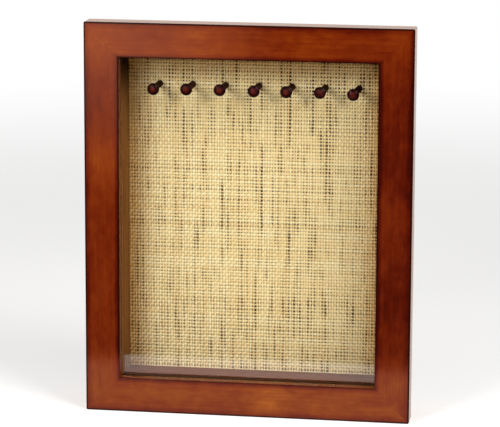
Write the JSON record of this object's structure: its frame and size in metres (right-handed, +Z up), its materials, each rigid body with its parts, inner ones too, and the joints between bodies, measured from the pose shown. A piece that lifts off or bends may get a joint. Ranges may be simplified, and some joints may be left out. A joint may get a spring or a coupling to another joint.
{
  "type": "glazed display case",
  "caption": "Shallow upright display case: hinged mitred front with a glass pane, woven cloth backing, and a row of turned pegs to hang things on.",
  "frame": {"origin": "middle of the bounding box at its bottom, which is the plane that the case stands on", "axes": "+X to the right of someone facing the glass, +Y from the glass towards the wall, +Z up"},
  "size_m": [0.305, 0.0646, 0.368],
  "materials": {
    "front_frame_wood": "mahogany stain with a satin lacquer",
    "case_wood": "mahogany stain, thin satin lacquer",
    "liner_wood": "brown stain, matt",
    "peg_wood": "turned, dark red stain, satin",
    "backing_board": "fibreboard, dark stain",
    "hardboard": "smooth hardboard",
    "woven_cloth": "open plain weave of straw-coloured yarn",
    "glass": "clear float glass",
    "hinge_brass": "rolled and lacquered",
    "magnet": "nickel plate",
    "steel": "zinc plate",
    "foot_rubber": "moulded",
    "pad_felt": "pressed felt"
  },
  "bodies": {
    "case": {"back_panel": "hardboard", "back_panel_pins": "steel", "case_bottom": "case_wood", "case_corner_pins": "steel", "case_left_side": "case_wood", "case_right_side": "case_wood", "case_top": "case_wood", "catch_magnets": "magnet", "door_buffers": "pad_felt", "foot_screws": "steel", "hanger_left": "steel", "hanger_pins": "steel", "hanger_right": "steel", "hinge_case_screws": "hinge_brass", "hinge_lower_case_leaf": "hinge_brass", "hinge_lower_pin": "hinge_brass", "hinge_upper_case_leaf": "hinge_brass", "hinge_upper_pin": "hinge_brass", "liner_bottom": "liner_wood", "liner_left": "liner_wood", "liner_right": "liner_wood", "liner_top": "liner_wood", "peg_1": "peg_wood", "peg_2": "peg_wood", "peg_3": "peg_wood", "peg_4": "peg_wood", "peg_5": "peg_wood", "peg_6": "peg_wood", "peg_7": "peg_wood", "peg_board": "backing_board", "rear_feet": "foot_rubber", "wall_pads": "pad_felt", "woven_cloth": "woven_cloth"},
    "door": {"door_left_stile": "front_frame_wood", "door_right_stile": "front_frame_wood", "door_top_rail": "front_frame_wood", "door_bottom_rail": "front_frame_wood", "corner_v_nails": "steel", "glass_pane": "glass", "glazing_bead_left": "liner_wood", "glazing_bead_right": "liner_wood", "glazing_bead_top": "liner_wood", "glazing_bead_bottom": "liner_wood", "glazing_bead_pins": "steel", "hinge_upper_door_leaf": "hinge_brass", "hinge_lower_door_leaf": "hinge_brass", "hinge_door_screws": "hinge_brass", "strike_plates": "steel", "strike_screws": "steel"}
  },
  "joints": [
    {"name": "door_hinge", "type": "hinge", "parent": "case", "child": "door", "pos_m": [-0.147, -0.00975, 0.184], "axis": [0, 0, -1], "range_deg": [0, 110]}
  ]
}
